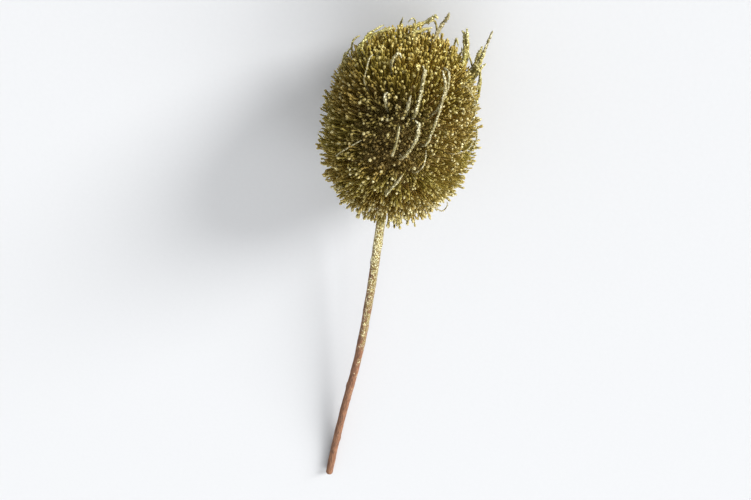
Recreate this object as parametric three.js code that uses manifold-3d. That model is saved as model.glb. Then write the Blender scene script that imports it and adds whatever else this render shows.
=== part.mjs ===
// A cut banksia flower, dried and gilded with glitter, lying on its side on a flat surface.
// Millimetres, +Z up. The head bears on the florets under its widest place, and the stem runs away
// along -Y and comes down to the surface at its cut end. The origin is the middle of the footprint.
//
// The flower is drawn in its own frame and then leaned over as one group. In that frame its axis is
// +Y, from the joint of stem and head at y = 0 to the crown, and +Z is the side that faces up.
import * as THREE from "three";
import { mergeVertices } from "three/addons/utils/BufferGeometryUtils.js";
import Module from "manifold-3d";

const wasm = await Module();
wasm.setup();

const { degToRad, lerp, smoothstep } = THREE.MathUtils;

// Flower head. Heights are measured along the axis from the joint. Angles are counted round the
// centre of the widest place, from the stem (0) over the side (90) to the crown (180).
const headWidth = 100; // across the floret tips at the widest place
const widestAt = 46; // height of the widest place
const crownReach = 74; // from the widest place to the top florets
const skirtReach = 60; // from the widest place to the lowest florets
const crownFullness = 2.3; // 2 is an ellipse, more has broader shoulders
const skirtFullness = 1.9;
const cobRadius = 12; // the woody cob that the florets grow from
const cobFoot = 6; // height of the lowest florets' roots
const cobTop = 84;
const neckRadius = 6; // where the head meets the stem
const massShare = 0.64; // the dense inner mass, as a share of the way out to the tips

// Florets
const floretCount = 570;
const lowestFloret = degToRad(13);
const drooping = degToRad(30); // florets bend down below this angle
const sweeping = degToRad(78); // and up towards the crown above this one
const bow = 0.13; // how far, as a share of their length
const rootRadius = 0.8;
const tipRadius = 2.2;
const sunkTo = 0.5; // how deep a floret is sunk in the inner mass, as a share of the way out
const tipScatter = 0.027; // how far tips lie off the even outline, as a share of the way out
const angleScatter = degToRad(2);

// Long loose florets that lie over the others and stand up past the crown
const looseCount = 30;
const looseRadius = 1.2;
const lowestLoose = degToRad(55);
const highestLoose = degToRad(150);
const looseSweep = degToRad(24); // the stretch of outline that one lies along
const looseSway = 0.25; // how far one turns aside, in radians
const looseRise = 0.15; // how far its end stands off the outline, as a share of the way out

// Stem
const stemLength = 330;
const stemRadius = 3.2;
const jointGap = 0.3;
const collarLength = 15; // where the stem widens towards the head
const scarCount = 15; // leaf scars, where the leaves were stripped
const firstScar = 30; // below the joint
const scarSpacing = 18;
const scarRadius = 1.7;

// How it lies
const lean = degToRad(7.2); // of the axis over the surface
const jointHeight = 41.4; // of the axis at the joint
const jointAhead = 98.6; // from the middle of the footprint to the joint
const pressedHeight = 0.3; // of the middle of a floret tip that bears on the surface
const pressedDepth = 0.3; // of the flat that the stem's end bears on

const tidiedBy = 0.006; // how far a face may move when the joined solids are tidied
const goldenAngle = Math.PI * (3 - Math.sqrt(5));
const sinLean = Math.sin(lean);
const cosLean = Math.cos(lean);

// The same draws every time: mulberry32
function randomSource(seed) {
  let state = seed;
  return () => {
    state = (state + 0x6d2b79f5) | 0;
    let mixed = Math.imul(state ^ (state >>> 15), 1 | state);
    mixed = (mixed + Math.imul(mixed ^ (mixed >>> 7), 61 | mixed)) ^ mixed;
    return ((mixed ^ (mixed >>> 14)) >>> 0) / 4294967296;
  };
}

// Height over the surface of a point of the flower's frame
function heightOf(point) {
  return jointHeight + point.y * sinLean + point.z * cosLean;
}

// The point of the flower's frame that is side off the axis, along it, and at that height
function atHeight(side, along, height) {
  return new THREE.Vector3(side, along, (height - jointHeight - along * sinLean) / cosLean);
}

// A point that lies lower than that height is moved straight up to it
function liftedTo(height, point) {
  const missing = Math.max(0, height - heightOf(point));
  return point.add(new THREE.Vector3(0, missing * sinLean, missing * cosLean));
}

// A point from its distance off the axis, its turn round it and its height along it
function around(radius, turn, along) {
  return new THREE.Vector3(radius * Math.cos(turn), along, radius * Math.sin(turn));
}

// The point on the outline of the floret tips, or at a share of the way out to it
function onOutline(angle, turn, share) {
  const upper = angle > Math.PI / 2;
  const fullness = upper ? crownFullness : skirtFullness;
  const reach = upper ? crownReach : skirtReach;
  const sideways = Math.pow(Math.sin(angle) / (headWidth / 2), fullness);
  const lengthways = Math.pow(Math.abs(Math.cos(angle)) / reach, fullness);
  const distance = share * Math.pow(sideways + lengthways, -1 / fullness);
  return around(distance * Math.sin(angle), turn, widestAt - distance * Math.cos(angle));
}

// How far out a point lies, as a share of the way to the outline
function shareOf(point) {
  const offAxis = Math.hypot(point.x, point.z);
  const underWidest = widestAt - point.y;
  const end = onOutline(Math.atan2(offAxis, underWidest), 0, 1);
  return Math.hypot(offAxis, underWidest) / Math.hypot(end.x, widestAt - end.y);
}

// Where the floret that ends at this angle grows from the cob, which is domed at the top
function rootOf(angle, turn) {
  const rise = Math.max(0, angle - lowestFloret) / (Math.PI - lowestFloret);
  const radius = cobRadius * Math.sqrt(1 - Math.pow(rise, 4));
  return around(radius, turn, lerp(cobFoot, cobTop, rise));
}

// The middle line of a floret. It sweeps up to the crown, and droops at the skirt.
function floretLine(angle, turn, share) {
  const root = rootOf(angle, turn);
  const tip = liftedTo(pressedHeight, onOutline(angle, turn, share));
  const length = root.distanceTo(tip);
  const chord = tip.clone().sub(root).normalize();
  const upwards = new THREE.Vector3(0, 1, 0).addScaledVector(chord, -chord.y).normalize();
  const sweep = 2 * smoothstep(angle, drooping, sweeping) - 1;
  const middle = root.clone().lerp(tip, 0.5).addScaledVector(upwards, -bow * length * sweep);
  return new THREE.QuadraticBezierCurve3(root, middle, tip);
}

// A solid from a closed geometry
function solidOf(geometry) {
  geometry.deleteAttribute("normal");
  geometry.deleteAttribute("uv");
  const merged = mergeVertices(geometry, 1e-4);
  const vertProperties = new Float32Array(merged.attributes.position.array);
  const triVerts = new Uint32Array(merged.index.array);
  return new wasm.Manifold(new wasm.Mesh({ numProp: 3, vertProperties, triVerts }));
}

// What hangs together with the biggest body, with nothing below the surface that the flower lies on
function restingBody(solids) {
  const depth = 20;
  const ground = new THREE.BoxGeometry(3 * headWidth, 3 * stemLength, depth);
  ground.translate(0, 0, -depth / 2);
  ground.rotateX(-lean);
  ground.translate(0, 0, -jointHeight / cosLean);
  const joined = wasm.Manifold.union(solids).subtract(solidOf(ground));
  const bodies = joined.asOriginal().simplify(tidiedBy).decompose();
  return bodies.reduce((biggest, body) => (body.volume() > biggest.volume() ? body : biggest));
}

function meshOf(name, solid, material) {
  const { numVert, numProp, vertProperties, triVerts } = solid.getMesh();
  const positions = new Float32Array(numVert * 3);
  for (let vertex = 0; vertex < numVert; vertex++) {
    const start = vertex * numProp;
    positions.set(vertProperties.subarray(start, start + 3), vertex * 3);
  }
  const geometry = new THREE.BufferGeometry();
  geometry.setAttribute("position", new THREE.BufferAttribute(positions, 3));
  geometry.setIndex(new THREE.BufferAttribute(new Uint32Array(triVerts), 1));
  const mesh = new THREE.Mesh(geometry, material);
  mesh.name = name;
  return mesh;
}

// The cob and the lower halves of the florets, packed too densely to tell apart
function innerMass() {
  const rings = 8;
  const sides = 14;
  const lowestRing = degToRad(45);
  const profile = [new THREE.Vector2(0, 0), new THREE.Vector2(neckRadius, 0)];
  profile.push(new THREE.Vector2(cobRadius + 2, cobFoot / 2), new THREE.Vector2(cobRadius + 5, cobFoot + 3));
  for (let ring = 0; ring < rings; ring++) {
    const { x, y } = onOutline(lerp(lowestRing, Math.PI, ring / rings), 0, massShare);
    profile.push(new THREE.Vector2(x, y));
  }
  profile.push(new THREE.Vector2(0, widestAt + crownReach * massShare));
  return solidOf(new THREE.LatheGeometry(profile, sides));
}

// Going in from the tip of a floret, the place where it is well inside the inner mass
function sunkPoint(line) {
  const step = 0.04;
  let along = 0.7;
  while (along > step && shareOf(line.getPoint(along)) > sunkTo) along -= step;
  return line.getPoint(along);
}

// One of the florets that cover the head in a spiral: thin at the root, with a club at the tip
function floret(index, random) {
  const scatter = () => 2 * random() - 1;
  const evenly = Math.acos(lerp(Math.cos(lowestFloret), -1, (index + 0.5) / floretCount));
  const angle = Math.min(evenly + scatter() * angleScatter, degToRad(179));
  const turn = index * goldenAngle + scatter() * angleScatter;
  const line = floretLine(angle, turn, 1 + scatter() * tipScatter);
  const root = sunkPoint(line);
  const tip = line.getPoint(1);
  const length = root.distanceTo(tip);
  const shape = new THREE.CylinderGeometry(tipRadius, rootRadius, length, 3);
  shape.rotateY(random() * goldenAngle);
  shape.translate(0, length / 2, 0);
  const direction = tip.sub(root).normalize();
  shape.applyQuaternion(new THREE.Quaternion().setFromUnitVectors(THREE.Object3D.DEFAULT_UP, direction));
  shape.translate(root.x, root.y, root.z);
  return solidOf(shape);
}

// A tube with few sides along a curve
function tube(curve, radius, sides, steps) {
  const turns = Array.from({ length: sides }, (_, corner) => (2 * Math.PI * corner) / sides);
  const corners = turns.map((turn) => new THREE.Vector2(radius * Math.cos(turn), radius * Math.sin(turn)));
  const section = new THREE.Shape(corners);
  return solidOf(new THREE.ExtrudeGeometry(section, { steps, bevelEnabled: false, extrudePath: curve }));
}

// A loose floret comes out between the others, lies along their tips and bends off them at its end
function looseFloret(index, random) {
  const share = Math.sqrt((index + 0.5) / looseCount);
  const start = lerp(lowestLoose, highestLoose, share);
  const end = Math.min(start + looseSweep * lerp(0.7, 1.3, random()), degToRad(172));
  const turn = 2 * index * goldenAngle + random();
  const sway = looseSway * (2 * random() - 1);
  const rise = 1 + looseRise * lerp(0.3, 1, random());
  const points = [
    onOutline(lerp(start, end, -0.3), turn, sunkTo),
    onOutline(start, turn, 0.9),
    onOutline(lerp(start, end, 0.5), turn + 0.4 * sway, 1.04),
    onOutline(end, turn + sway, rise),
  ];
  const resting = points.map((point) => liftedTo(pressedHeight + looseRadius, point));
  return tube(new THREE.CatmullRomCurve3(resting), looseRadius, 3, 4);
}

function flowerHead() {
  const random = randomSource(31);
  const florets = Array.from({ length: floretCount }, (_, index) => floret(index, random));
  const loose = Array.from({ length: looseCount }, (_, index) => looseFloret(index, random));
  return restingBody([innerMass(), ...florets, ...loose]);
}

// The stem leaves the head along its axis, wanders a little and comes to lie at its cut end
const stemLine = new THREE.CatmullRomCurve3([
  new THREE.Vector3(0, -jointGap, 0),
  new THREE.Vector3(0, -26, 0),
  atHeight(2.2, -92, 29.3),
  atHeight(2.8, -168, 19.4),
  atHeight(-0.4, -240, 10.2),
  atHeight(-2.2, -292, 4.4),
  atHeight(-2.6, -313, stemRadius - pressedDepth),
  atHeight(-2.7, -stemLength, stemRadius - pressedDepth),
]);

function collar(sides) {
  const foot = -collarLength;
  const profile = [new THREE.Vector2(0, foot), new THREE.Vector2(0.9 * stemRadius, foot)];
  profile.push(new THREE.Vector2(1.15 * stemRadius, foot / 2));
  profile.push(new THREE.Vector2(0.9 * neckRadius, -jointGap), new THREE.Vector2(0, -jointGap));
  return solidOf(new THREE.LatheGeometry(profile, sides));
}

// A leaf scar: a low knob, longer than it is wide
function leafScar(index) {
  const centre = stemLine.getPointAt((firstScar + index * scarSpacing) / stemLength);
  const side = around(stemRadius - 0.35 * scarRadius, index * goldenAngle, 0);
  const shape = new THREE.IcosahedronGeometry(scarRadius);
  shape.scale(1, 1.7, 1);
  shape.translate(centre.x + side.x, centre.y, centre.z + side.z);
  return solidOf(shape);
}

function stem() {
  const sides = 10;
  const steps = 40;
  const scars = Array.from({ length: scarCount }, (_, index) => leafScar(index));
  return restingBody([tube(stemLine, stemRadius, sides, steps), collar(sides), ...scars]);
}

const gilded = new THREE.MeshStandardMaterial({ color: 0x9a8546, roughness: 0.45, metalness: 0.7 });
const bark = new THREE.MeshStandardMaterial({ color: 0x7c5a34, roughness: 0.7, metalness: 0.1 });
gilded.flatShading = true;
bark.flatShading = true;

const flower = new THREE.Group();
flower.add(meshOf("flower_head", flowerHead(), gilded));
flower.add(meshOf("stem", stem(), bark));
flower.rotation.x = lean;
flower.position.set(0, jointAhead, jointHeight);

const banksia = new THREE.Group();
banksia.add(flower);

export default banksia;
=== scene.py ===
# %% [markdown]
# # A dried banksia flower, gilded with glitter
# A banksia head is thousands of long, thin florets that stand out all round a woody cob. This one
# was cut, dried, coated with glue and gold glitter, and laid down on its side. The solids of the
# flower are already there, with a few hundred coarse florets. This lesson puts finer pieces in
# their place: seven thousand slender florets, the loose ones that hang out, the bracts, a woolly
# cob and a stem.

# %% Load the solids
import math

import bpy
import numpy as np
from mathutils import Matrix, Vector


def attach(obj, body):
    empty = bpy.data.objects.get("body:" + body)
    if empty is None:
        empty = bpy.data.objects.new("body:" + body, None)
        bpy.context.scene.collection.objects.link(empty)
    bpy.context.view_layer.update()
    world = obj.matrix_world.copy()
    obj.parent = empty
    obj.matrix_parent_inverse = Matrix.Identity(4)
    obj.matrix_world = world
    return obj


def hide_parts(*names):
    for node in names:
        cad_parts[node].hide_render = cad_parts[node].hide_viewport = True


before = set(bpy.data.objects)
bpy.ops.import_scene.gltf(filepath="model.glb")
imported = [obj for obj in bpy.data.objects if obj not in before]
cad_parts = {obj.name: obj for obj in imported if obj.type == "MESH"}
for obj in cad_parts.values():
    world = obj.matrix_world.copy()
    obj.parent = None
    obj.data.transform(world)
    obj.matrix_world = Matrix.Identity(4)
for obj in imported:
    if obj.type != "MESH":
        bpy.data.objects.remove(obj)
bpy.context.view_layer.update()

# %% [markdown]
# ## The form of the head
# All pieces follow the same few numbers that the solids were made from, so each finer piece stays
# where its solid is. Lengths are in millimetres and become metres only when a mesh is made. The
# flower is described standing on its stem, with its axis along Y, and is laid down afterwards.

# %% Sizes of the flower
MM = 0.001
HEAD_WIDTH = 100.0
WIDEST_AT = 46.0  # above the joint of head and stem
CROWN_REACH = 74.0  # from the widest place to the crown
SKIRT_REACH = 60.0  # from the widest place down to the lowest florets
CROWN_FULLNESS = 2.3  # 2 is an ellipse, more is squarer
SKIRT_FULLNESS = 1.9
COB_RADIUS = 12.0
COB_FOOT = 6.0
COB_TOP = 84.0
STEM_LENGTH = 330.0
STEM_RADIUS = 3.2
JOINT_GAP = 0.3
LEAN = math.radians(7.2)  # how far the crown rises from the surface that the flower lies on
JOINT_HEIGHT = 41.4
JOINT_AHEAD = 98.6
PRESSED = 0.3  # how far above the surface the lowest florets end
GOLDEN_ANGLE = math.pi * (3 - math.sqrt(5))
SIN_LEAN, COS_LEAN = math.sin(LEAN), math.cos(LEAN)
AXIS = np.array([0.0, 1.0, 0.0])
print("head:", HEAD_WIDTH, "mm wide and", CROWN_REACH + SKIRT_REACH, "mm long")

# %% [markdown]
# The outline of the head is a squarish ellipse turned about the axis. A place on it has an angle,
# which is 0 at the foot and 180 degrees at the crown, and a turn about the axis. Arrays of such
# places give arrays of points, which is what makes thousands of florets quick to compute.


# %% Places on the head
def around(radius, turn, along):
    radius, turn, along = np.broadcast_arrays(radius, turn, along)
    return np.stack([radius * np.cos(turn), along, radius * np.sin(turn)], axis=-1)


def on_outline(angle, turn, share=1.0):
    """A place on the outline of the head, or at a share of the way out to it."""
    angle = np.asarray(angle, float)
    upper = angle > math.pi / 2
    fullness = np.where(upper, CROWN_FULLNESS, SKIRT_FULLNESS)
    reach = np.where(upper, CROWN_REACH, SKIRT_REACH)
    out = np.maximum(np.sin(angle), 0)
    along = np.cos(angle)
    size = (out / (HEAD_WIDTH / 2)) ** fullness + (np.abs(along) / reach) ** fullness
    distance = share * size ** (-1 / fullness)
    return around(distance * out, turn, WIDEST_AT - distance * along)


def laid_down(points):
    """From the standing flower to the flower as it lies."""
    x, y, z = points[..., 0], points[..., 1], points[..., 2]
    along = JOINT_AHEAD + y * COS_LEAN - z * SIN_LEAN
    return np.stack([x, along, JOINT_HEIGHT + y * SIN_LEAN + z * COS_LEAN], axis=-1)


def lifted_to(height, points):
    """Whatever would hang below this height is pushed up to it by the surface."""
    missing = np.maximum(0, height - laid_down(points)[..., 2])
    return points + missing[..., None] * np.array([0.0, SIN_LEAN, COS_LEAN])


def mixed(first, second, share):
    return first + (second - first) * share


def smooth(value, start, end):
    """0 at start and beyond it, 1 at end, and smooth in between. Start may be the larger one."""
    share = np.clip((value - start) / (end - start), 0, 1)
    return share * share * (3 - 2 * share)


print("crown at", np.round(laid_down(on_outline(math.pi, 0.0)), 1), "mm")

# %% [markdown]
# ## From a line to a mesh
# Florets, loose florets and the stem are all round things that follow a line. Curves with a bevel
# could make them, but a bevel has one profile for all of them. Here rings of points are placed
# around each line in plain arrays, so that every ring can have its own radius and roughness.
# The frame of the rings is carried along the line without twisting.


# %% Rings around lines
UNLIKELY_WAY = np.array([0.31, 0.17, 0.93])  # a direction that hardly any line takes
TINY = 1e-9


def lengths_of(vectors):
    return np.linalg.norm(vectors, axis=-1, keepdims=True)


def rings_around(lines, radii, sides):
    """lines is (count, rings, 3) and radii (count, rings, sides): the points of all rings."""
    heading = np.gradient(lines, axis=1)
    heading /= np.maximum(lengths_of(heading), TINY)
    side = np.cross(heading[:, 0], UNLIKELY_WAY)
    carried = np.empty_like(lines)
    for ring in range(lines.shape[1]):
        forward = heading[:, ring]
        side = side - forward * (side * forward).sum(-1, keepdims=True)
        side /= np.maximum(lengths_of(side), TINY)
        carried[:, ring] = side
    across = np.cross(heading, carried)
    turns = np.arange(sides) * 2 * math.pi / sides
    out = carried[:, :, None] * np.cos(turns)[:, None] + across[:, :, None] * np.sin(turns)[:, None]
    return lines[:, :, None] + out * radii[..., None]


# %% [markdown]
# A mesh of a hundred thousand corners is filled in one go through foreach_set, which is far quicker than
# adding faces one by one. Each tube is closed at both ends with a fan, and gets a narrow cell of its own
# in the UV map named OFBake. Named attributes, here called marks, tell a finish what it can't see in the
# shape, such as how many millimetres back from the tip of its floret a point is.

# %% Closed tubes as one mesh
CELL_SHAPE = 8  # how many times as tall as wide a tube's cell in the UV map is
CELL_MARGIN = 0.05
END_SHARE = 0.04  # of a cell's height, for the fan at each end


def new_piece(name, mesh, finish, node):
    piece = bpy.data.objects.new(name, mesh)
    bpy.context.scene.collection.objects.link(piece)
    mesh.materials.append(finish)
    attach(piece, "root")
    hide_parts(node)


def mesh_of(name, points, quads, triangles, corner_uv=None, marks=None):
    """points in mm, already laid down; quads and triangles hold point numbers."""
    mesh = bpy.data.meshes.new(name)
    mesh.vertices.add(len(points))
    mesh.vertices.foreach_set("co", (points * MM).astype(np.float32).ravel())
    corners = np.concatenate([quads.ravel(), triangles.ravel()]).astype(np.int32)
    mesh.loops.add(len(corners))
    mesh.loops.foreach_set("vertex_index", corners)
    starts = np.arange(len(quads)) * 4, len(quads) * 4 + np.arange(len(triangles)) * 3
    starts = np.concatenate(starts).astype(np.int32)
    mesh.polygons.add(len(starts))
    mesh.polygons.foreach_set("loop_start", starts)
    mesh.polygons.foreach_set("use_smooth", np.ones(len(starts), bool))
    mesh.update(calc_edges=True)
    if corner_uv is not None:
        layer = mesh.uv_layers.new(name="OFBake")
        layer.data.foreach_set("uv", corner_uv.astype(np.float32).ravel())
    for mark, values in (marks or {}).items():
        attribute = mesh.attributes.new(mark, "FLOAT", "POINT")
        attribute.data.foreach_set("value", values.astype(np.float32).ravel())
    mesh.validate()
    triangles_made = 2 * len(quads) + len(triangles)
    print(f"{name}: {triangles_made} triangles")
    return mesh


def tubes(name, walls, marks):
    """One mesh of closed tubes. walls is (count, rings, sides, 3), marks fit (count, rings, sides)."""
    count, rings, sides = walls.shape[:3]
    middles = walls.mean(2)
    points = np.concatenate([walls.reshape(count, -1, 3), middles[:, [0, -1]]], axis=1)
    ring, side = np.meshgrid(np.arange(rings - 1), np.arange(sides), indexing="ij")
    ring, side = ring.ravel(), side.ravel()
    after = (side + 1) % sides
    wall = [ring * sides + side, ring * sides + after, (ring + 1) * sides + after]
    wall = np.stack(wall + [(ring + 1) * sides + side], axis=-1)
    spoke = np.arange(sides)
    next_spoke = (spoke + 1) % sides
    last = (rings - 1) * sides
    foot = np.stack([next_spoke, spoke, np.full(sides, rings * sides)], axis=-1)
    head = np.stack([last + spoke, last + next_spoke, np.full(sides, rings * sides + 1)], axis=-1)
    shift = (np.arange(count) * (rings * sides + 2))[:, None, None]
    quads = (wall[None] + shift).reshape(-1, 4)
    fans = (np.concatenate([foot, head])[None] + shift).reshape(-1, 3)
    kept = {}
    for mark, values in marks.items():
        values = np.broadcast_to(values, (count, rings, sides))
        ends = values[:, [0, -1]].mean(2)
        kept[mark] = np.concatenate([values.reshape(count, -1), ends], axis=1).ravel()
    return mesh_of(name, points.reshape(-1, 3), quads, fans, cells(middles, ring, side, sides), kept)


def cells(middles, ring, side, sides):
    """A place in the UV map for every corner: each tube is unrolled into a cell of its own."""
    count = len(middles)
    travelled = np.cumsum(lengths_of(np.diff(middles, axis=1))[..., 0].mean(0))
    height = mixed(END_SHARE, 1 - END_SHARE, np.concatenate([[0], travelled]) / travelled[-1])
    up = np.stack([height[ring], height[ring], height[ring + 1], height[ring + 1]], -1)
    wall = np.stack([np.stack([side, side + 1, side + 1, side], -1) / sides, up], -1)
    spoke = np.arange(sides)
    foot = np.stack([spoke + 1, spoke, spoke + 0.5], -1) / sides
    foot = np.stack([foot, np.tile([END_SHARE, END_SHARE, 0.0], (sides, 1))], -1)
    head = np.stack([spoke, spoke + 1, spoke + 0.5], -1) / sides
    head = np.stack([head, np.tile([1 - END_SHARE, 1 - END_SHARE, 1.0], (sides, 1))], -1)
    columns = math.ceil(math.sqrt(count * CELL_SHAPE)) if count > 1 else 1
    grid = np.array([columns, math.ceil(count / columns)])
    cell = np.stack([np.arange(count) % columns, np.arange(count) // columns], -1)[:, None, None]
    fans = np.concatenate([foot, head])
    placed = [(part[None] * (1 - 2 * CELL_MARGIN) + CELL_MARGIN + cell) / grid for part in (wall, fans)]
    return np.concatenate([part.reshape(-1, 2) for part in placed])


# %% [markdown]
# ## Sums on sockets
# A finish is a tree of nodes. Adding the nodes by hand for every sum makes long and unreadable
# code, so a small class wraps a socket: + - * on it add the right node. Numbers use Math
# nodes, vectors Vector Math and colours Mix, because a Math node would turn a colour grey.


# %% A socket that can be reckoned with
class Strand:
    """One output socket of a finish, on which + - * work."""

    def __init__(self, finish, socket):
        self.finish = finish
        self.socket = socket

    def joined(self, operation, first, second):
        kinds = {part.socket.type for part in (first, second) if isinstance(part, Strand)}
        if "RGBA" in kinds:
            settings = {"data_type": "RGBA", "blend_type": operation, "clamp_factor": True}
            return self.finish.node("Mix", settings, {"Factor": 1.0, "A": first, "B": second})
        if "VECTOR" in kinds:
            return self.finish.node("VectorMath", {"operation": operation}, {0: first, 1: second})
        return self.finish.node("Math", {"operation": operation}, {0: first, 1: second})

    def __add__(self, other):
        return self.joined("ADD", self, other)

    def __radd__(self, other):
        return self.joined("ADD", other, self)

    def __sub__(self, other):
        return self.joined("SUBTRACT", self, other)

    def __rsub__(self, other):
        return self.joined("SUBTRACT", other, self)

    def __mul__(self, other):
        return self.joined("MULTIPLY", self, other)

    def __rmul__(self, other):
        return self.joined("MULTIPLY", other, self)


class Finish:
    """The nodes of a material, or of the sky."""

    def __init__(self, made):
        made.use_nodes = True
        self.made = made
        self.tree = made.node_tree
        self.tree.nodes.clear()

    def node(self, kind, settings=None, values=None, output=0):
        """Adds a node: its settings first, then the values or links of its sockets."""
        made = self.tree.nodes.new("ShaderNode" + kind)
        for name, value in (settings or {}).items():
            if name == "stops":
                self.set_stops(made.color_ramp, value)
            else:
                setattr(made, name, value)
        for key, value in (values or {}).items():
            self.fill(self.socket(made.inputs, key), value)
        return Strand(self, self.socket(made.outputs, output)) if made.outputs else None

    def socket(self, sockets, key):
        usable = [one for one in sockets if one.enabled]
        return usable[key] if isinstance(key, int) else next(one for one in usable if one.name == key)

    def fill(self, socket, value):
        if isinstance(value, Strand):
            self.tree.links.new(value.socket, socket)
        elif isinstance(value, (tuple, list)):
            size = len(socket.default_value)
            socket.default_value = (tuple(value) + (1.0,))[:size]
        elif socket.type in ("VECTOR", "RGBA"):
            size = len(socket.default_value)
            socket.default_value = ((value,) * 3 + (1.0,))[:size]
        else:
            socket.default_value = value

    def set_stops(self, ramp, stops):
        while len(ramp.elements) < len(stops):
            ramp.elements.new(0.5)
        for element, (place, colour) in zip(ramp.elements, stops):
            element.position = place
            element.color = tuple(colour) + (1.0,)

    def blend(self, share, first, second):
        """Between two colours."""
        return self.node("Mix", {"data_type": "RGBA"}, {"Factor": share, "A": first, "B": second})

    def between(self, value, start, end):
        """0 at start and beyond it, 1 at end, and smooth in between. Start may be the larger one."""
        settings = {"interpolation_type": "SMOOTHSTEP"}
        return self.node("MapRange", settings, {"Value": value, "From Min": start, "From Max": end})

    def place(self):
        """Where a point is on its piece, in metres."""
        return self.node("TexCoord", output="Object")

    def mark(self, name):
        """What the mesh says of a point."""
        return self.node("Attribute", {"attribute_name": name}, None, "Fac")

    def noise(self, place, size, detail):
        """Soft blotches of about this size in mm."""
        values = {"Vector": place, "Scale": 1 / (size * MM), "Detail": detail}
        return self.node("TexNoise", None, values, "Fac")

    def flakes(self, place, size, output="Color"):
        """Cells of about this size in mm, each with its own colour or a distance from its middle."""
        return self.node("TexVoronoi", None, {"Vector": place, "Scale": 1 / (size * MM)}, output)

    def channels(self, colour):
        """The three numbers of a colour."""
        red = self.node("SeparateColor", None, {"Color": colour})
        return [Strand(self, socket) for socket in red.socket.node.outputs]

    def ramp(self, share, stops):
        return self.node("ValToRGB", {"stops": stops}, {"Fac": share}, "Color")

    def tilted(self, normal, chips, reach):
        """The normal, which each chip tilts its own way."""
        offset = self.node("VectorMath", {"operation": "SUBTRACT"}, {0: chips, 1: 0.5})
        tilt = offset * self.node("CombineXYZ", None, {0: reach, 1: reach, 2: reach})
        return self.node("VectorMath", {"operation": "NORMALIZE"}, {0: normal + tilt})

    def finished(self, values):
        """The material, with these values or sums on its one shader."""
        shader = self.node("BsdfPrincipled", None, values)
        self.node("OutputMaterial", None, {"Surface": shader})
        print(f"{self.made.name}: {len(self.tree.nodes)} nodes")
        return self.made


# %% [markdown]
# ## Gold glitter
# Glitter is chips of foil about half a millimetre wide, glued on at every angle. Each chip is a
# flat mirror, so one flashes white while its neighbour stays dark. Modelling chips would take
# millions of faces. Instead Voronoi cells the size of a chip each tilt the surface their own way
# and have their own shade of gold. The glue was sprayed on from outside, and each floret caught
# more or less of it, which is the shade that its tube carries. Where that is high, the club is
# pale with dust and full of chips; where it is low, the dull floret shows up to its very tip.
# Down the shafts the chips grow fewer for all. A broad noise makes the dried florets greener in some
# places and browner in others. Those at the crown are the youngest and the yellowest. Where the head was
# rubbed they have lost glitter, and there their colour is also darkened as painted shade.


# %% The glitter finish
DUST = (0.62, 0.54, 0.28)
GREENER, BROWNER = (0.95, 0.99, 0.88), (1.0, 0.9, 0.84)
UNTINTED = (1.0, 1.0, 1.0)
# Painted shade: this tint darkens the florets' own colour where the head was rubbed.
PAINTED_SHADE_TINT = (0.55, 0.52, 0.6)
YOUNG_TINT = (1.0, 0.955, 0.72)
DRIFT, WASH = 9, 24  # mm, how broad the drifts of glitter and the washes of colour are
# Places on a floret, in mm back from its end: where something begins and where it is full.
PALE_END = (2.1, 0.4)
DUSTY_CLUB = (2.6, 0.8)
DEEP_SHAFT = (5, 24)
MORE_CHIPS = (22, 4)


def glitter(name, olive, deep, foil, chip=0.38, tilt=1.25, metal=0.75, richer=0.0, grain=0.5):
    """olive and deep are the floret near its tip and far down, foil three shades of gold.

    chip is in mm. tilt is how far chips tilt, grain how much their shades differ, and richer is an
    extra share of the surface that they cover.
    """
    finish = Finish(bpy.data.materials.new(name))
    place = finish.place()
    chips = finish.flakes(place, chip)
    chip_kind, chip_gloss, chip_luck = finish.channels(chips)
    drifts = finish.noise(place, DRIFT, 3.0)
    shade, back, rubbed, young = map(finish.mark, ("shade", "back", "rubbed", "young"))
    at_tip = finish.between(back, *PALE_END)

    # The gold of the chips, palest at the tips.
    kind = grain * chip_kind + (0.85 - grain) * shade + 0.5 * (drifts - 0.3)
    gold = finish.ramp(kind, list(zip((0.0, 0.5, 0.9), foil)))
    gold = finish.blend(0.2 * at_tip, gold, foil[2])

    # The floret under them: its own colour, lighter far down on the gilded florets as painted light, the
    # wash, painted shade where the head was rubbed, and dust on its club.
    floret = finish.blend(finish.between(back + 5 * shade, *DEEP_SHAFT), olive, deep)
    wash = finish.between(finish.noise(place, WASH, 2.0), 0.38, 0.62)
    floret = floret * finish.blend(wash, GREENER, BROWNER) * finish.blend(rubbed, UNTINTED, PAINTED_SHADE_TINT)
    dusted = finish.between(back, *DUSTY_CLUB) * (0.05 + 0.95 * shade)
    floret = finish.blend(0.8 * dusted, floret, DUST)

    # The share of the surface that chips cover, and whether this chip is one of them.
    share = 0.1 + richer - 0.2 * rubbed + 0.26 * finish.between(back, *MORE_CHIPS)
    share = share + at_tip * (0.55 * shade - 0.14)
    luck = 0.8 * chip_luck + 0.5 * (drifts - 0.3)
    covered = finish.between(share - luck, -0.03, 0.03)
    straight = finish.node("NewGeometry", output="Normal")
    return finish.finished(
        {
            "Base Color": finish.blend(covered, floret, gold) * finish.blend(young, UNTINTED, YOUNG_TINT),
            "Metallic": metal * covered,
            "Roughness": 0.74 - 0.34 * chip_gloss * covered,
            "Specular IOR Level": 0.2,
            "Normal": finish.tilted(straight, chips, tilt * (0.3 + 0.7 * covered)),
        }
    )


# Far down their shafts these florets are given a lighter colour than near their tips: painted light that
# lifts the shade in the gaps between them.
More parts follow.
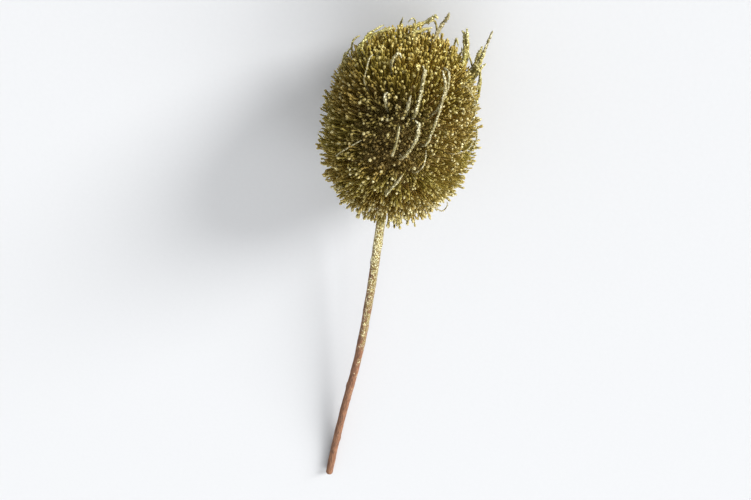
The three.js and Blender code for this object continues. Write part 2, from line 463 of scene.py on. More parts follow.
GILDED = glitter(
    "gilded_florets", (0.33, 0.25, 0.05), (0.6, 0.43, 0.085),
    [(0.2, 0.146, 0.024), (0.38, 0.308, 0.06), (0.8, 0.745, 0.48)], metal=0.6,
)
PALE_GILDED = glitter(
    "pale_gilded_florets", (0.26, 0.22, 0.09), (0.2, 0.16, 0.05),
    [(0.15, 0.115, 0.035), (0.36, 0.31, 0.145), (0.6, 0.565, 0.4)],
    chip=0.6, tilt=1.4, metal=0.65, richer=0.25, grain=0.85,
)
YELLOW_GILDED = glitter(
    "yellow_gilded_florets", (0.3, 0.25, 0.065), (0.24, 0.19, 0.045),
    [(0.18, 0.14, 0.03), (0.42, 0.37, 0.11), (0.8, 0.76, 0.44)],
    chip=0.55, tilt=1.3, metal=0.65, richer=0.15, grain=0.8,
)

# %% [markdown]
# ## The cob
# Inside the head is a woolly cob, and round it the lower halves of the florets are packed so closely that
# one can't look in any further. Both are one swollen form here. Its finish shows the packed shafts as
# small ochre cells, lightened as painted light against the shade this deep in the head. The gaps between
# them are darkened as painted shade, and there is dust of glitter on top.


# %% Build the cob
PACKED_SHARE = 0.75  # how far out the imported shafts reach, as a share of the way to the tips
PACKED_UNEVEN = 0.035
PACKED_CLEAR = 6.0  # above the surface


def swell(points, size, seed, octaves=3):
    """A smooth random field between about -1 and 1, from a few crossing waves."""
    source = np.random.default_rng(seed)
    total = np.zeros(points.shape[:-1])
    for octave in range(octaves):
        for _ in range(4):
            direction = source.normal(size=3)
            direction /= np.linalg.norm(direction)
            phase = source.uniform(0, 2 * math.pi)
            waves = 2 * math.pi / size * 1.9**octave
            total += np.sin(points @ direction * waves + phase) * 0.6**octave
    return total / 4


def cob_rings():
    rings, sides = 72, 90
    angle = np.linspace(math.radians(24), math.radians(179.5), rings)[:, None]
    turn = np.linspace(0, 2 * math.pi, sides, endpoint=False)[None, :]
    uneven = swell(on_outline(angle, turn, PACKED_SHARE), 9, 5)
    points = on_outline(angle, turn, PACKED_SHARE + PACKED_UNEVEN * uneven)
    return laid_down(lifted_to(PACKED_CLEAR, points))


def wool():
    finish = Finish(bpy.data.materials.new("woolly_cob"))
    place = finish.place()
    tufts = finish.noise(place, 3, 5.0)
    shafts = finish.flakes(place + 4 * MM * (0.5 - tufts), 1.25, "Distance")
    packed = finish.between(shafts, 0.62, 0.18)
    speck = finish.between(finish.channels(finish.flakes(place, 0.45))[0], 0.86, 0.9)
    # Painted light and shade: the ochre of the cells is lighter than shafts this deep would show, and the
    # gaps between them are darkened.
    hair_with_painted_light = finish.blend(tufts, (0.4, 0.28, 0.07), (0.68, 0.5, 0.14))
    colour = finish.blend(packed, (0.3, 0.2, 0.05), hair_with_painted_light)
    return finish.finished(
        {
            "Base Color": finish.blend(speck * packed, colour, (0.6, 0.5, 0.2)),
            "Metallic": 0.7 * speck,
            "Roughness": 0.9 - 0.5 * speck,
            "Normal": finish.node("Bump", None, {"Strength": 1.0, "Distance": 1.2 * MM, "Height": packed}),
        }
    )


new_piece("woolly_cob", tubes("woolly_cob", cob_rings()[None], {}), wool(), "flower_head")

# %% [markdown]
# ## The florets
# Each floret grows from the cob, sags a little at mid height, turns up again at its end, most so
# round the shoulders of the crown, and ends in a small club. Curves drawn one by one would take
# days, and hair particles would need combing. So a few functions give the line of any floret from
# its place on the head: an angle and a turn, which follow a spiral as the seeds of a sunflower do.

# %% Lines of the florets
LOWEST_FLORET = math.radians(13)
DROOPING = math.radians(30)
SWEEPING = math.radians(78)
ARCHING = math.radians(95)
STRAIGHT = math.radians(132)
UPRIGHT = math.radians(158)
BOW = 0.13  # how far a floret bends away from its straight line, as a share of its length
ARCH, UNARCH = 1.25, 0.9  # how much less it sags between ARCHING and STRAIGHT, and by UPRIGHT again
CLUB_NECK = (1.1, 2.9)  # back from the tip, where the club narrows to the shaft
DENSER_CROWN = 1.25


def root_of(angle, turn):
    rise = np.maximum(0, angle - LOWEST_FLORET) / (math.pi - LOWEST_FLORET)
    radius = COB_RADIUS * np.sqrt(np.maximum(0, 1 - rise**4))
    return around(radius, turn, mixed(COB_FOOT, COB_TOP, rise))


def spiral(count, source, scatter):
    """Places spread by area over the head, from its foot to its crown."""
    index = np.arange(count)
    steps = np.linspace(LOWEST_FLORET, math.pi, 400)
    profile = on_outline(steps, 0.0)
    bands = (profile[:-1, 0] + profile[1:, 0]) * lengths_of(np.diff(profile, axis=0))[:, 0]
    bands = bands * mixed(1.0, DENSER_CROWN, smooth(steps[1:], 1.5, 2.5))
    covered = np.concatenate([[0], np.cumsum(bands)]) / bands.sum()
    evenly = np.interp((index + 0.5) / count, covered, steps)
    angle = evenly + source.uniform(-1, 1, count) * scatter
    turn = index * GOLDEN_ANGLE + source.uniform(-1, 1, count) * scatter / np.maximum(np.sin(evenly), 0.2)
    return np.clip(angle, 0.1, math.radians(179)), turn


def floret_lines(angle, tips, roots, bent, back_from_tip):
    """Points of each floret at these distances back from its tip."""
    chord = tips - roots
    length = lengths_of(chord)
    upwards = AXIS - chord * (chord @ AXIS)[:, None] / length**2
    upwards /= np.maximum(lengths_of(upwards), 0.35)
    sagging = 2 * smooth(angle, DROOPING, SWEEPING) - 1
    arching = ARCH * smooth(angle, ARCHING, STRAIGHT) - UNARCH * smooth(angle, STRAIGHT, UPRIGHT)
    sweep = (sagging * (1 - arching))[:, None]
    middles = (roots + tips) / 2 - upwards * BOW * length * sweep + bent
    along = np.clip(1 - back_from_tip / length, 0.02, 1)[..., None]
    roots, middles, tips = roots[:, None], middles[:, None], tips[:, None]
    return roots * (1 - along) ** 2 + 2 * middles * along * (1 - along) + tips * along**2


def club(back, club_radius, shaft_radius):
    """Radius of a floret at a distance back from its tip."""
    swollen = shaft_radius + (club_radius - shaft_radius) * (1 - smooth(back, *CLUB_NECK))
    round_end = np.sqrt(np.maximum(0, 1 - (1 - np.clip(back / club_radius, 0, 1)) ** 2))
    return swollen * round_end


# %% [markdown]
# Dried florets have lost the order of the spiral: their ends lean together in tufts, and dark gaps open
# between the tufts. So every tip is drawn some way towards the nearest of a few hundred seeded tufts. Some
# florets are shorter, which makes the surface deep. At one place on its upper side the head has rubbed
# against other heads: more florets are short there, and fewer tips have kept their glitter. The finish
# also paints shade at that place, darkening the florets' colour. All of this is drawn once for all
# florets, from one seed.

# %% Draw the florets
FLORET_COUNT = 7000
TUFT_COUNT = 640
TIP_SCATTER = 0.045
# The place where the head was rubbed, which the glitter finish also darkens as painted shade.
RUBBED_SHADED_PLACE = (2.25, 1.75)  # angle and turn
RUBBED_SHADED_REACH = (16, 48)  # from that place, where all and where no florets are rubbed


def nearest_of(points, others):
    """For each point, the number of the nearest of the others."""
    return lengths_of(points[:, None] - others[None])[..., 0].argmin(1)


chance = np.random.default_rng(31)
angles, turns = spiral(FLORET_COUNT, chance, math.radians(2.2))
upper = smooth(angles, 1.9, 2.5)
# How much each floret is rubbed: it lost glitter there, and the finish paints it darker there as shade.
from_rubbed = lengths_of(on_outline(angles, turns) - on_outline(*RUBBED_SHADED_PLACE))[..., 0]
rubbed = 1 - smooth(from_rubbed, *RUBBED_SHADED_REACH)
shares = 1 + TIP_SCATTER * mixed(1.1, 0.6, upper) * chance.normal(size=FLORET_COUNT).clip(-2.2, 2.0)
short = chance.random(FLORET_COUNT) < mixed(0.34, 0.1, upper) + 0.52 * rubbed
shares -= short * chance.uniform(0.04, 0.2, FLORET_COUNT)
tuft_angles, tuft_turns = spiral(TUFT_COUNT, chance, math.radians(4))
tuft_of = nearest_of(on_outline(angles, turns), on_outline(tuft_angles, tuft_turns))
lowness = 1 - smooth(tuft_angles, 1.4, 2.2)
reaches = lowness * chance.uniform(-0.06, 0.07, TUFT_COUNT)
pulls = chance.uniform(0.0, 0.28, TUFT_COUNT) + lowness * chance.uniform(0.0, 0.3, TUFT_COUNT)
tufts = on_outline(tuft_angles, tuft_turns, 0.99 + reaches)
tips = mixed(on_outline(angles, turns, shares + reaches[tuft_of]), tufts[tuft_of], pulls[tuft_of][:, None])
astray = chance.normal(size=(2, FLORET_COUNT)).clip(-2, 2)
nods = np.random.default_rng(17).normal(size=(FLORET_COUNT, 3))
roots = root_of(angles + 0.08 * astray[0], turns + 0.16 * astray[1])
print(FLORET_COUNT, "florets,", round(float(lengths_of(tips - roots).mean()), 1), "mm long")

# %% [markdown]
# Rings lie close together at the club, where the form changes, and far apart on the shaft. The last few
# millimetres nod to one side, each floret its own way. The radius of every corner gets a little chance,
# which makes the lumps that glitter and glue leave, and a floret that caught much glitter has a thicker
# club. Few did, so the chance is raised to a power. The power is smaller at the crown and the skirt, so
# that more clubs on those rims are big and pale, as painted highlight. It is larger where the head was
# rubbed, for lost glitter and for painted shade. There are five pieces, from skirt to crown.


# %% Build the florets
SHAFT_RADIUS = 0.36
CLUB_RADIUS = 0.62
NEAR_TIP = np.array([0.06, 0.36, 0.95, 1.6, 2.4, 4.0])  # rings of the club, back from the tip
SHAFT_FROM, SHAFT_RINGS = 8.5, 6
NOD_LENGTH = 4.5
SIDES = 5
LUMPS = 0.14  # how far a corner lies off its ring, as a share of the radius


def marks_of(back, shades, **others):
    marks = {"shade": shades, **others}
    return {"back": back[..., None]} | {mark: values[:, None, None] for mark, values in marks.items()}


def floret_piece(name, chosen, source):
    count = len(chosen)
    starts = lifted_to(PRESSED, roots[chosen])
    resting = lifted_to(PRESSED + CLUB_RADIUS, tips[chosen])
    length = lengths_of(resting - starts)
    shaft = SHAFT_FROM + (0.97 * length - SHAFT_FROM) * np.linspace(0, 1, SHAFT_RINGS)
    back = np.concatenate([np.tile(NEAR_TIP, (count, 1)), shaft], axis=1)[:, ::-1]
    high = smooth(angles[chosen], 1.6, 2.3)[:, None]
    crown, skirt = smooth(angles[chosen], 2.55, 2.9), 1 - smooth(angles[chosen], 0.9, 1.3)
    young = smooth(angles[chosen], 2.35, 2.75)

    # The line: its bow, a slow wave along it, and the nod of its end.
    bent = source.normal(size=(count, 3)).clip(-2, 2) * mixed(1.9, 0.9, high)
    lines = floret_lines(angles[chosen], resting, starts, bent, back)
    wave = source.uniform(0, 2 * math.pi, (count, 1)) + np.linspace(0, 5, back.shape[1])
    lines = lines + np.sin(wave)[..., None] * source.normal(size=(count, 1, 3)) * 0.3
    facing = (resting - starts) / length
    nod = nods[chosen] - facing * (nods[chosen] * facing).sum(-1, keepdims=True)
    nod = nod.clip(-1.6, 1.6)[:, None] * np.clip(1 - back / NOD_LENGTH, 0, 1)[..., None] ** 2
    lines = lines + nod * mixed(0.4, 0.8, high)[..., None]

    # The thickness: of the shaft, of the club by the glitter that it caught, and the lumps.
    thick = source.uniform(0.84, 1.18, (count, 1)) * mixed(1.04, 0.94, high)
    # Fewer pale, glittering clubs where the head was rubbed: partly lost glitter, partly painted shade.
    # More at the crown and the skirt, as painted highlight on those rims.
    shades = source.random(count) ** (3.3 + rubbed[chosen] - 1.6 * crown - 2.7 * skirt)
    shades = shades * np.where(short[chosen], 0.3, 1.0)
    swollen = thick * mixed(0.78, 1.35, shades[:, None])
    swollen = swollen * (1 + 0.4 * rubbed[chosen] + 0.32 * crown + 0.26 * skirt)[:, None]
    radii = club(back, CLUB_RADIUS * swollen, SHAFT_RADIUS * thick)
    lines = lifted_to(PRESSED + radii, lines)
    lumps = 1 + source.uniform(-LUMPS, LUMPS, radii.shape + (SIDES,))
    walls = rings_around(laid_down(lines), radii[..., None] * lumps, SIDES)
    marks = marks_of(back, shades, rubbed=rubbed[chosen], young=young)
    new_piece(name, tubes(name, walls, marks), GILDED, "flower_head")


PARTS = ("skirt_florets", "lower_florets", "middle_florets", "upper_florets", "crown_florets")
for part, chosen in zip(PARTS, np.array_split(np.arange(FLORET_COUNT), len(PARTS))):
    floret_piece(part, chosen, chance)

# %% [markdown]
# ## Bracts at the foot
# Where the stem widens into the head, a few dozen small pointed bracts lie over each other like
# shingles. They are what is left of the bud. Each is a short flat tube that ends in a point, so
# the maker of tubes serves here too: its rings are squeezed flat against the stem.

# %% Build the bracts
BRACT_COUNT = 72
BRACTS_FROM, BRACTS_TO = -15.5, -1.0  # along the axis, counted from the joint
BRACT_FLATNESS = 0.72  # the share of its thickness that is pressed out of it


def bract_walls(source):
    rings, sides = 9, 8
    rise = ((np.arange(BRACT_COUNT) + 0.5) / BRACT_COUNT)[:, None]
    turn = (np.arange(BRACT_COUNT) * GOLDEN_ANGLE)[:, None]
    share = np.linspace(0, 1, rings)[None]
    length = mixed(4.2, 6.5, rise) * source.uniform(0.85, 1.2, (BRACT_COUNT, 1))
    spread = mixed(0.8, 3.2, rise) * source.uniform(0.8, 1.3, (BRACT_COUNT, 1))
    radius = mixed(STEM_RADIUS, 5.5, rise) + spread * share**1.7
    lines = around(radius, turn, mixed(BRACTS_FROM, BRACTS_TO, rise) + length * (share - 0.15))
    width = 1.3 * np.sqrt(np.maximum(1 - share**1.6, 0.002)) * mixed(0.75, 1.0, smooth(share, 0, 0.3))
    width = np.broadcast_to(width[..., None], (BRACT_COUNT, rings, sides))
    walls = rings_around(lines, width, sides)
    outward = around(1.0, turn, 0.0)[:, :, None]
    thickness = ((walls - lines[:, :, None]) * outward).sum(-1, keepdims=True)
    return laid_down(walls - BRACT_FLATNESS * thickness * outward)


BRACTS = glitter(
    "gilded_bracts", (0.16, 0.09, 0.035), (0.11, 0.06, 0.025),
    [(0.16, 0.1, 0.03), (0.44, 0.34, 0.11), (0.78, 0.72, 0.4)],
    chip=0.45, tilt=1.2, richer=0.2, grain=0.7,
)
walls = bract_walls(np.random.default_rng(9))
back = np.broadcast_to(np.linspace(8, 1, walls.shape[1]), walls.shape[:2])
bracts = tubes("foot_bracts", walls, marks_of(back, np.random.default_rng(10).random(BRACT_COUNT)))
new_piece("foot_bracts", bracts, BRACTS, "flower_head")

# %% [markdown]
# ## Loose florets
# The outermost florets of a dried head come loose. They are longer and thicker, took more glitter,
# and so look pale against the rest. They come out between the others, lie over their ends
# pointing to the crown, and some end in a hook. The most striking are given one by one, in two
# tables for two finishes: a radius, then a few places as angle, turn and share of the way out.
# The rest follow a seeded rule.

# %% Lines of the loose florets
PALE_STRANDS = [
    (1.1, [(140, 79, 1.03), (144, 78, 1.05), (150, 76, 1.06), (155, 74, 1.06), (158, 72, 1.05),
           (161, 75, 1.05)]),
    (0.9, [(123, 68, 1.02), (130, 65, 1.04), (138, 61, 1.05), (145, 56, 1.06), (151, 51, 1.06),
           (158, 48, 1.05)]),
    (0.8, [(141, 61, 1.02), (146, 54, 1.05), (151, 48, 1.07), (156, 44, 1.08), (159, 45, 1.05)]),
    (1.1, [(113, 84, 1.02), (119, 80, 1.05), (125, 77, 1.06), (131, 76, 1.06), (134, 76, 1.05),
           (136, 79, 1.03)]),
    (0.75, [(114, 91, 1.02), (122, 90, 1.04), (127, 90, 1.05), (132, 90, 1.04)]),
    (0.85, [(81, 90, 1.02), (90, 87, 1.05), (96, 84, 1.06), (101, 82, 1.05)]),
    (0.42, [(93, 135, 1.0), (107, 124, 1.04), (117, 115, 1.03)]),
    (0.42, [(147, 23, 1.03), (141, 19, 1.05), (134, 18, 1.06), (129, 22, 1.05), (127, 25, 1.02)]),
    (0.9, [(160, 118, 1.02), (162, 117, 1.05), (164, 114, 1.06), (163, 107, 1.04)]),
    (0.5, [(146, 134, 1.02), (150, 137, 1.04), (154, 142, 1.06), (157, 145, 1.05)]),
    (0.5, [(103, 19, 1.0), (113, 16, 1.05), (125, 17, 1.03)]),
    (0.38, [(70, 55, 1.0), (56, 38, 1.05), (53, 31, 1.09), (58, 30, 1.08), (66, 36, 1.05)]),
    (0.42, [(102, 73, 1.0), (107, 69, 1.04), (114, 68, 1.05), (119, 68, 1.03)]),
    (0.95, [(142, 106, 0.99), (145, 108, 1.04), (146, 106, 1.04)]),
    (0.95, [(142, 86, 0.98), (145, 86, 1.04), (147, 85, 1.05)]),
    (0.42, [(112, 43, 1.0), (111, 30, 1.05), (114, 22, 1.05)]),
    (0.9, [(145, 343, 1.16), (147, 341, 1.27), (148, 340, 1.33), (149, 339, 1.39)]),
    (1.2, [(169, 321, 0.98), (161, 302, 1.09), (160, 304, 1.17), (161, 306, 1.23)]),
]
YELLOW_STRANDS = [
    (0.65, [(142, 195, 1.0), (145, 197, 1.08), (147, 200, 1.08), (148, 203, 1.07)]),
    (0.7, [(154, 171, 1.05), (157, 182, 1.08), (161, 192, 1.08), (163, 202, 1.08)]),
    (0.85, [(151, 177, 1.03), (156, 181, 1.05), (161, 188, 1.05), (165, 195, 1.05), (168, 205, 1.05)]),
    (1.15, [(168, 261, 1.02), (162, 278, 1.07), (162, 286, 1.12), (162, 291, 1.15), (162, 295, 1.13)]),
    (1.05, [(176, 247, 1.02), (173, 275, 1.02), (164, 283, 1.02), (162, 291, 1.05)]),
    (1.1, [(153, 354, 1.0), (152, 332, 1.08), (154, 328, 1.13), (155, 325, 1.17), (156, 323, 1.16)]),
    (1.1, [(148, 339, 1.0), (151, 333, 1.1), (154, 330, 1.16), (155, 327, 1.2), (155, 325, 1.21)]),
    (1.25, [(143, 344, 1.02), (146, 341, 1.14), (147, 341, 1.18), (148, 340, 1.23)]),
    (1.15, [(142, 346, 1.02), (145, 343, 1.18), (146, 342, 1.22), (147, 341, 1.25)]),
    (1.0, [(140, 347, 1.0), (142, 346, 1.14), (142, 346, 1.19)]),
    (0.85, [(134, 351, 1.0), (138, 348, 1.08), (141, 346, 1.1)]),
]
LOOSE_COUNT = 36
LOOSE_ANGLES = (math.radians(50), math.radians(134))
FAR_SIDE, FAR_SPAN = math.radians(190), math.radians(160)  # the turns where the others come out
GOLDEN_SHARE = 0.618
INNER_START = 0.72  # where a striking one starts, as a share of the way out
HOOKED = 0.35  # the share of the others that end in a hook


def smooth_path(points, count):
    """count evenly spaced points on a curve through these points."""
    points = np.asarray(points, float)
    before = 2 * points[0] - points[1]
    after = 2 * points[-1] - points[-2]
    padded = np.concatenate([[before], points, [after]])
    dense = []
    for start in range(len(points) - 1):
        a, b, c, d = padded[start : start + 4]
        gaps = [max(math.dist(p, q), TINY) ** 0.5 for p, q in ((a, b), (b, c), (c, d))]
        leaving = (b - a) / gaps[0] - (c - a) / (gaps[0] + gaps[1]) + (c - b) / gaps[1]
        coming = (c - b) / gaps[1] - (d - b) / (gaps[1] + gaps[2]) + (d - c) / gaps[2]
        leaving, coming = leaving * gaps[1], coming * gaps[1]
        share = np.linspace(0, 1, 40, endpoint=False)[:, None]
        bend = -3 * b + 3 * c - 2 * leaving - coming
        dense.append(b + leaving * share + bend * share**2 + (2 * b - 2 * c + leaving + coming) * share**3)
    dense = np.concatenate(dense + [points[-1:]])
    travelled = np.concatenate([[0], np.cumsum(np.linalg.norm(np.diff(dense, axis=0), axis=1))])
    wanted = np.linspace(0, travelled[-1], count)
    return np.stack([np.interp(wanted, travelled, dense[:, axis]) for axis in range(3)], axis=-1)


def striking_line(places):
    """From deep between the florets, out to the first place and on along the others."""
    spots = [on_outline(math.radians(a), math.radians(t), s) for a, t, s in places]
    middle = on_outline(0, 0, 0)
    before = spots[0] - 0.2 * (spots[1] - spots[0])
    return smooth_path([middle + INNER_START * (before - middle)] + spots, 72)


def loose_line(index, source):
    share = math.sqrt((index + 0.5) / LOOSE_COUNT)
    start = mixed(*LOOSE_ANGLES, share)
    end = start + math.radians(20) * source.uniform(0.6, 1.4)
    turn = FAR_SIDE + FAR_SPAN * ((index * GOLDEN_SHARE) % 1)
    sway = 0.3 * source.uniform(-1, 1)
    rise = 1 + 0.12 * source.uniform(0.2, 1)
    spots = [
        on_outline(mixed(start, end, -0.3), turn, 0.6),
        on_outline(start, turn, 0.93),
        on_outline(mixed(start, end, 0.5), turn + 0.4 * sway, 1.03),
        on_outline(end, turn + sway, rise),
    ]
    if source.random() < HOOKED:
        hook = source.uniform(-1, 1)
        spots.append(on_outline(end + math.radians(3), turn + sway + 0.12 * hook, rise - 0.02))
        spots.append(on_outline(end + math.radians(1.5), turn + sway + 0.2 * hook, rise - 0.05))
    return smooth_path(spots, 44)


# %% [markdown]
# A loose floret is a tube like the others, with more rings and sides, because it is thicker and
# stands out from them. It is thinner where it comes out and at its end, and rough all along from
# the flakes of glue and glitter that cling to it.

# %% Build the loose florets
LOOSE_SIDES = 8
LOOSE_LUMPS = 0.3
CLOSER = 0.2  # their glitter reaches five times as far from the end as on the others


def loose_piece(name, lines, radii, finish, source):
    lines = np.array(lines)
    count, rings = lines.shape[:2]
    steps = lengths_of(np.diff(lines, axis=1))[..., 0]
    travelled = np.concatenate([np.zeros((count, 1)), np.cumsum(steps, axis=1)], axis=1)
    back = travelled[:, -1:] - travelled + 0.05
    radii = np.array(radii)[:, None]
    thick = club(back, radii, radii) * mixed(0.6, 1, smooth(travelled, 0, 14))
    thick = thick * mixed(0.5, 1, smooth(back, 0, 5))
    thick = thick * (1 + 0.16 * source.normal(size=thick.shape).clip(-1.6, 1.6))
    lines = lines + source.normal(size=(count, rings, 3)).clip(-1.5, 1.5) * 0.1 * radii[..., None]
    lines = lifted_to(PRESSED + thick, lines)
    lumps = 1 + source.uniform(-LOOSE_LUMPS, LOOSE_LUMPS, thick.shape + (LOOSE_SIDES,))
    walls = rings_around(laid_down(lines), thick[..., None] * lumps, LOOSE_SIDES)
    mesh = tubes(name, walls, marks_of(CLOSER * back, source.uniform(0.3, 1, count)))
    new_piece(name, mesh, finish, "flower_head")


def striking_piece(name, strands, finish, source):
    lines = [striking_line(places) for _, places in strands]
    loose_piece(name, lines, [radius for radius, _ in strands], finish, source)


striking_piece("pale_strands", PALE_STRANDS, PALE_GILDED, chance)
striking_piece("yellow_strands", YELLOW_STRANDS, YELLOW_GILDED, chance)
loose_lines = [loose_line(index, chance) for index in range(LOOSE_COUNT)]
loose_piece("loose_florets", loose_lines, chance.uniform(0.45, 0.8, LOOSE_COUNT), YELLOW_GILDED, chance)

# %% [markdown]
# ## The stem
# The stem is woody and thin, and bare since its leaves were stripped off. Each leaf left a scar
# on a low swelling, and the scars wind round the stem. The bark has fine furrows. Near the head it
# is gilded too; further down only specks of glitter reach the red-brown bark. It was cut
# straight across with shears, so its end shows pale wood with a darker pith.

# %% Build the stem
FURROW_PULL = 0.12  # how little the furrows change along the stem
COLLAR = (19, 3)  # mm down from the joint, where the stem starts to widen and where it is widest
SCAR_COUNT = 15
FIRST_SCAR = 30.0
SCAR_SPACING = 18.0
SCAR_FORMS = ((0.85, 1.5), (-0.75, 0.75))  # height and radius: a swelling with a pit in it
CUT_RINGS = np.array([0.93, 0.8, 0.62, 0.42, 0.22, 0.08])  # from the edge of the cut to its middle


def at_height(side, along, height):
    return [side, along, (height - JOINT_HEIGHT - along * SIN_LEAN) / COS_LEAN]


def stem_rings():
    rings, sides = 460, 40
    route = [
        [0, -JOINT_GAP, 0], [0, -26, 0], at_height(2.2, -92, 29.3), at_height(2.8, -168, 19.4),
        at_height(-0.4, -240, 10.2), at_height(-2.2, -292, 4.4), at_height(-2.6, -313, 2.9),
        at_height(-2.7, -STEM_LENGTH, 2.9),
    ]
    line = smooth_path(route, rings)
    down = np.linspace(0, STEM_LENGTH, rings)[:, None]
    turn = np.arange(sides)[None] * 2 * math.pi / sides
    cylinder = around(STEM_RADIUS, turn, down * FURROW_PULL)
    furrows = 0.11 * swell(cylinder, 2.4, 11)
    swellings = 0.12 * swell(cylinder * [0, 8, 0], 30, 12)
    collar = smooth(down, *COLLAR) * (2.1 + 0.35 * swell(cylinder * [1, 9, 1], 5, 13))
    radius = STEM_RADIUS * (1.03 - 0.06 * down / STEM_LENGTH) + furrows + swellings + collar
    for scar in range(SCAR_COUNT):
        away = turn - (math.pi / 2 + scar * GOLDEN_ANGLE)
        away = np.arctan2(np.sin(away), np.cos(away)) * STEM_RADIUS
        distance = np.hypot(away, (down - FIRST_SCAR - scar * SCAR_SPACING) / 1.7)
        for size, reach in SCAR_FORMS:
            radius = radius + size * np.exp(-((distance / reach) ** 2))
    rounded = np.sqrt(np.clip((STEM_LENGTH - down + 0.6) / 0.7, 0.86, 1))
    walls = rings_around(line[None], (radius * rounded)[None], sides)[0]
    outward = (walls - line[:, None]) / lengths_of(walls - line[:, None])
    return walls, np.repeat(down, sides, axis=1), outward @ np.array([0.6, 0.0, 0.8])


def cut_face(edge):
    """Rings from the edge of the cut to its middle, a little rough."""
    middle = edge.mean(0)
    shares = CUT_RINGS[:, None, None]
    inner = mixed(middle, edge, shares)
    inner[..., 1] += 0.12 * swell(inner, 1.6, 17) - 0.1 * (shares[..., 0] < 0.3)
    return inner


def stem_mesh():
    walls, down, sprayed = stem_rings()
    face = cut_face(walls[-1])
    points = np.concatenate([walls, face])
    points = laid_down(points)
    points[..., 2] = np.maximum(points[..., 2], 0.1)
    rings, sides = points.shape[:2]
    down = np.concatenate([down, np.full((len(face), sides), STEM_LENGTH)]) / STEM_LENGTH
    across = np.ones((rings, sides))
    across[-len(face) :] = CUT_RINGS[:, None]
    sprayed = np.concatenate([sprayed, np.zeros((len(face), sides))])
    marks = {"down": down[None], "across": across[None], "sprayed": sprayed[None]}
    return tubes("gilded_stem", points[None], marks)


# %% [markdown]
# The bark's finish is one shader. The noise that draws its furrows is stretched along the stem.
# A mask decides chip by chip whether there is glitter. It was sprayed from one side, so that side
# keeps its chips furthest down, and further on only specks are left in patches. The face of the
# cut has its own colours, chosen by how far out a point is.


# %% The bark finish
BARK_TONES = [(0.2, (0.075, 0.028, 0.012)), (0.5, (0.2, 0.083, 0.036)), (0.8, (0.32, 0.15, 0.07))]
CHIP_TONES = [(0.0, (0.16, 0.11, 0.02)), (0.5, (0.42, 0.33, 0.08)), (0.8, (0.92, 0.86, 0.55))]
PITH_AND_WOOD = [(0.0, (0.16, 0.09, 0.045)), (0.14, (0.5, 0.36, 0.2))]
WOOD_AND_RIND = [(0.84, (0.62, 0.47, 0.28)), (0.93, (0.2, 0.09, 0.045))]
GLUE = (0.18, 0.125, 0.03)
PORES = (0.42, 0.3, 0.18)


def bark():
    finish = Finish(bpy.data.materials.new("gilded_bark"))
    place = finish.place()
    stretched = finish.node("Mapping", None, {"Vector": place, "Scale": (1.0, 0.06, 1.0)})
    down, across, sprayed = map(finish.mark, ("down", "across", "sprayed"))
    patches = finish.noise(place, 8, 5.0)
    rays = finish.noise(place, 0.5, 4.0)
    chips = finish.flakes(place, 0.6)
    chip_kind, chip_luck, _ = finish.channels(chips)

    # The wood, with its furrows, pores and blotches.
    grooved = finish.between(finish.noise(stretched, 0.55, 7.0), 0.32, 0.62)
    pore = finish.between(finish.flakes(stretched, 1.1, "Distance"), 0.16, 0.1)
    wood = finish.ramp(0.4 * grooved + 0.3 * finish.noise(place, 25, 3.0) + 0.3 * patches, BARK_TONES)
    wood = finish.blend(0.6 * pore, wood, PORES)

    # The glitter, chip by chip, on wood that the glue has darkened.
    share = 0.7 - 1.6 * down + 0.3 * sprayed + 1.6 * (patches - 0.5)
    wood = finish.blend(0.7 * finish.between(share, 0.1, 0.7), wood, GLUE)
    gilded = finish.between(share - chip_luck, -0.02, 0.02)
    gold = finish.ramp(chip_kind, CHIP_TONES)

    # The cut, from its pith out to its rind.
    cut_wood = finish.ramp(across + 0.14 * (rays - 0.5), PITH_AND_WOOD + WOOD_AND_RIND)
    cut = finish.between(across, 0.985, 0.97)
    covered = gilded * (1 - cut)
    height = grooved - 0.5 * pore + 0.35 * rays
    bump = finish.node("Bump", None, {"Strength": 0.9, "Distance": 0.3 * MM, "Height": height})
    return finish.finished(
        {
            "Base Color": finish.blend(cut, finish.blend(gilded, wood, gold), cut_wood),
            "Metallic": 0.8 * covered,
            "Roughness": 0.78 - 0.45 * covered,
            "Normal": finish.tilted(bump, chips, 1.1 * covered),
        }
    )


new_piece("gilded_stem", stem_mesh(), bark(), "stem")

# %% [markdown]
# ## The floor
# The flower lies on a pale board that reaches far beyond the view, so its edges never show. A
# plane could be added by an operator, but the maker of meshes is here already and fills a grid as
# easily as a floret. The finish is dull, with a grain so faint that it is felt more than seen.


# %% Floor
def floor_mesh():
    reach, steps = 30_000, 24
    side = np.linspace(-reach, reach, steps)
    x, y = np.meshgrid(side, side, indexing="ij")
    points = np.stack([x, y, 0 * x], -1).reshape(-1, 3)
    row, column = np.meshgrid(np.arange(steps - 1), np.arange(steps - 1), indexing="ij")
    corner = (row * steps + column).ravel()
    quads = np.stack([corner, corner + steps, corner + steps + 1, corner + 1], -1)
    return mesh_of("floor", points, quads, np.zeros((0, 3), int))


def pale_board():
    finish = Finish(bpy.data.materials.new("pale_board"))
    grain = finish.noise(finish.place(), 3, 3.0)
    colour = finish.blend(grain, (0.605, 0.61, 0.62), (0.625, 0.63, 0.64))
    return finish.finished({"Base Color": colour, "Roughness": 0.85})


floor = bpy.data.objects.new("floor", floor_mesh())
floor.data.materials.append(pale_board())
bpy.context.scene.collection.objects.link(floor)

# %% [markdown]
# ## The light
# Three broad lamps and a pale sky make the soft light of a small studio. The main lamp stands low
# beyond the crown and to its right, so the crown is bright, and the foot and the left of the head
# fall into their own shade. A weak lamp from the right and a broad one from the stem's side lift
# that shade a little. The sky is darker overhead than near the horizon, so it doesn't fill the
# gaps between the florets. Suns are used and not area lamps, because their light is as strong on
# every part of the flower.


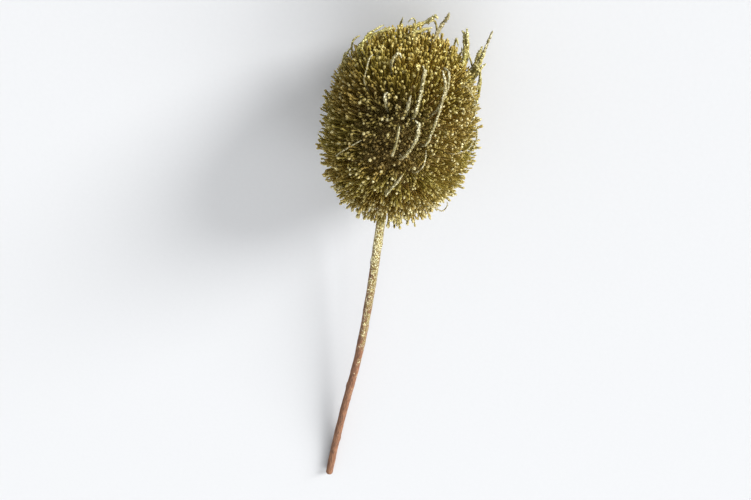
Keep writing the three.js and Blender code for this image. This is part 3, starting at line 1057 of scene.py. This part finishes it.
# %% Lamps and sky
def soft_sun(name, azimuth, elevation, strength, width):
    """Light from one side, azimuth counted from the crown's side to the left."""
    print(f"{name}: {strength} from {azimuth} degrees, {elevation} degrees up")
    light = bpy.data.lights.new(name, "SUN")
    light.energy = strength
    light.angle = math.radians(width)
    made = bpy.data.objects.new(name, light)
    azimuth, elevation = math.radians(azimuth), math.radians(elevation)
    flat = math.cos(elevation)
    towards = Vector((-flat * math.sin(azimuth), flat * math.cos(azimuth), math.sin(elevation)))
    made.rotation_euler = towards.to_track_quat("Z", "Y").to_euler()
    bpy.context.scene.collection.objects.link(made)


def pale_sky(low, high):
    """Bright near the horizon and darker overhead."""
    sky = Finish(bpy.data.worlds.new("pale_sky"))
    height = sky.node("SeparateXYZ", None, {0: sky.node("TexCoord", output="Generated")}, "Z")
    reach = {"From Min": 0.1, "From Max": 0.6, "To Min": low, "To Max": high}
    strength = sky.node("MapRange", None, {"Value": height, **reach})
    light = sky.node("Background", None, {"Color": (0.96, 0.98, 1.0), "Strength": strength})
    sky.node("OutputWorld", None, {"Surface": light})
    print(f"{sky.made.name}: from {low} at the horizon to {high} overhead")
    return sky.made


soft_sun("soft_lamp", -46, 20, 4.8, 24)
soft_sun("far_lamp", -105, 34, 1.1, 40)
soft_sun("low_lamp", -164, 26, 1.75, 50)
bpy.context.scene.world = pale_sky(0.98, 0.47)
bpy.context.scene.view_settings.view_transform = "Standard"

# %% [markdown]
# ## The camera
# It looks down on the flower from the crown's side, turned so that the crown is up and the stem
# runs down and away. Its place follows from the angle between the head's axis and the line of
# sight, so it stays right if the head's lean changes.

# %% Camera
VIEW_FROM_AXIS = math.radians(55)  # between the head's axis and the line of sight
DISTANCE = 650.0  # from the middle of the head
LEAN_IN_VIEW = math.radians(11)
LENS, SENSOR = 47.2, 36.0  # mm
MIDDLE_OF_VIEW = (0.0, 34.0, 20.0)

head_centre = Vector(laid_down(np.array([0.0, 50.0, 0.0])) * MM)
crown_way = Vector((0, COS_LEAN, SIN_LEAN))
elevation = VIEW_FROM_AXIS + LEAN
stand = head_centre + DISTANCE * MM * Vector((0, math.cos(elevation), math.sin(elevation)))
forward = (Vector(MIDDLE_OF_VIEW) * MM - stand).normalized()
up = (crown_way - forward * crown_way.dot(forward)).normalized()
up = Matrix.Rotation(-LEAN_IN_VIEW, 3, forward) @ up
right = forward.cross(up)
camera = bpy.data.objects.new("camera", bpy.data.cameras.new("camera"))
camera.data.lens = LENS
camera.data.sensor_width = SENSOR
camera.data.clip_start = 0.01
turned = Matrix((right, up, -forward)).transposed().to_4x4()
camera.matrix_world = Matrix.Translation(stand) @ turned
bpy.context.scene.collection.objects.link(camera)
bpy.context.scene.camera = camera
print("camera at", [round(v, 3) for v in stand])
